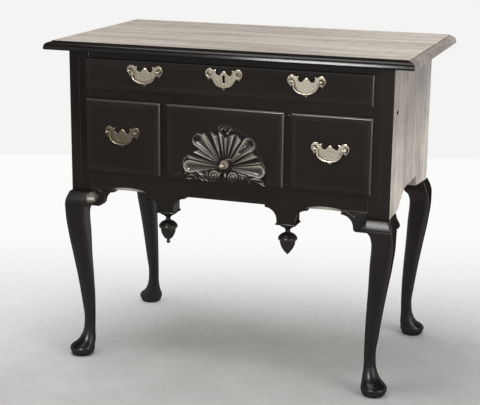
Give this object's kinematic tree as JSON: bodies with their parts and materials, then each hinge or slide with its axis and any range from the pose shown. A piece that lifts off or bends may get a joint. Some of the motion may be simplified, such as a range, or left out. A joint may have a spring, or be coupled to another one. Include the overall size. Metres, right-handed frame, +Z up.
{
  "type": "lowboy dressing table",
  "caption": "Lowboy dressing table with a long drawer above short drawers, a carved shell, bail handles, an arched apron with turned drops, and cabriole legs on pad feet.",
  "frame": {"origin": "on the floor below the middle of the top board", "axes": "+Z up, +X to the right seen from the front, the drawers open towards -Y"},
  "size_m": [0.86, 0.496, 0.76],
  "materials": {
    "dark_walnut": "dark polished walnut",
    "faded_walnut": "sun-faded waxed walnut",
    "pine": "bare aged pine",
    "brass": "worn cast brass",
    "iron": "dark wrought iron"
  },
  "bodies": {
    "case": {"back_board": "pine", "front_apron": "dark_walnut", "front_left_leg": "dark_walnut", "front_right_leg": "dark_walnut", "left_bracket": "dark_walnut", "left_drop": "dark_walnut", "left_inner_runner": "pine", "left_long_runner": "pine", "left_muntin": "dark_walnut", "left_outer_runner": "pine", "left_side": "faded_walnut", "left_side_bracket": "dark_walnut", "left_stile": "dark_walnut", "middle_rail": "dark_walnut", "rear_left_leg": "dark_walnut", "rear_right_leg": "dark_walnut", "right_bracket": "dark_walnut", "right_drop": "dark_walnut", "right_inner_runner": "pine", "right_long_runner": "pine", "right_muntin": "dark_walnut", "right_outer_runner": "pine", "right_side": "faded_walnut", "right_side_bracket": "dark_walnut", "right_stile": "dark_walnut", "top_board": "faded_walnut", "top_rail": "dark_walnut"},
    "long_drawer": {"escutcheon": "brass", "lock_case": "iron", "long_drawer_back": "pine", "long_drawer_bottom": "pine", "long_drawer_front": "dark_walnut", "long_drawer_left_side": "pine", "long_drawer_right_side": "pine", "long_left_plate": "brass", "long_right_plate": "brass"},
    "left_drawer": {"left_drawer_back": "pine", "left_drawer_bottom": "pine", "left_drawer_front": "dark_walnut", "left_drawer_left_side": "pine", "left_drawer_right_side": "pine", "left_plate": "brass"},
    "centre_drawer": {"centre_drawer_back": "pine", "centre_drawer_bottom": "pine", "centre_drawer_front": "dark_walnut", "centre_drawer_left_side": "pine", "centre_drawer_right_side": "pine", "shell_knob": "brass"},
    "right_drawer": {"right_drawer_back": "pine", "right_drawer_bottom": "pine", "right_drawer_front": "dark_walnut", "right_drawer_left_side": "pine", "right_drawer_right_side": "pine", "right_plate": "brass"},
    "long_left_bail": {"long_left_bail": "brass"},
    "long_right_bail": {"long_right_bail": "brass"},
    "left_bail": {"left_bail": "brass"},
    "right_bail": {"right_bail": "brass"},
    "lock_bolt": {"lock_bolt": "iron"}
  },
  "joints": [
    {"name": "long_drawer_slide", "type": "slide", "parent": "case", "child": "long_drawer", "axis": [0, -1, 0], "range_m": [0, 0.26]},
    {"name": "left_drawer_slide", "type": "slide", "parent": "case", "child": "left_drawer", "axis": [0, -1, 0], "range_m": [0, 0.26]},
    {"name": "centre_drawer_slide", "type": "slide", "parent": "case", "child": "centre_drawer", "axis": [0, -1, 0], "range_m": [0, 0.26]},
    {"name": "right_drawer_slide", "type": "slide", "parent": "case", "child": "right_drawer", "axis": [0, -1, 0], "range_m": [0, 0.26]},
    {"name": "long_left_bail_hinge", "type": "hinge", "parent": "long_drawer", "child": "long_left_bail", "pos_m": [-0.1895, -0.2286, 0.70025], "axis": [-1, 0, 0], "range_deg": [0, 95]},
    {"name": "long_right_bail_hinge", "type": "hinge", "parent": "long_drawer", "child": "long_right_bail", "pos_m": [0.1895, -0.2286, 0.70025], "axis": [-1, 0, 0], "range_deg": [0, 95]},
    {"name": "left_bail_hinge", "type": "hinge", "parent": "left_drawer", "child": "left_bail", "pos_m": [-0.24625, -0.2286, 0.556], "axis": [-1, 0, 0], "range_deg": [0, 95]},
    {"name": "right_bail_hinge", "type": "hinge", "parent": "right_drawer", "child": "right_bail", "pos_m": [0.24625, -0.2286, 0.556], "axis": [-1, 0, 0], "range_deg": [0, 95]},
    {"name": "lock_bolt_throw", "type": "slide", "parent": "long_drawer", "child": "lock_bolt", "axis": [0, 0, 1], "range_m": [0, 0.007]}
  ]
}
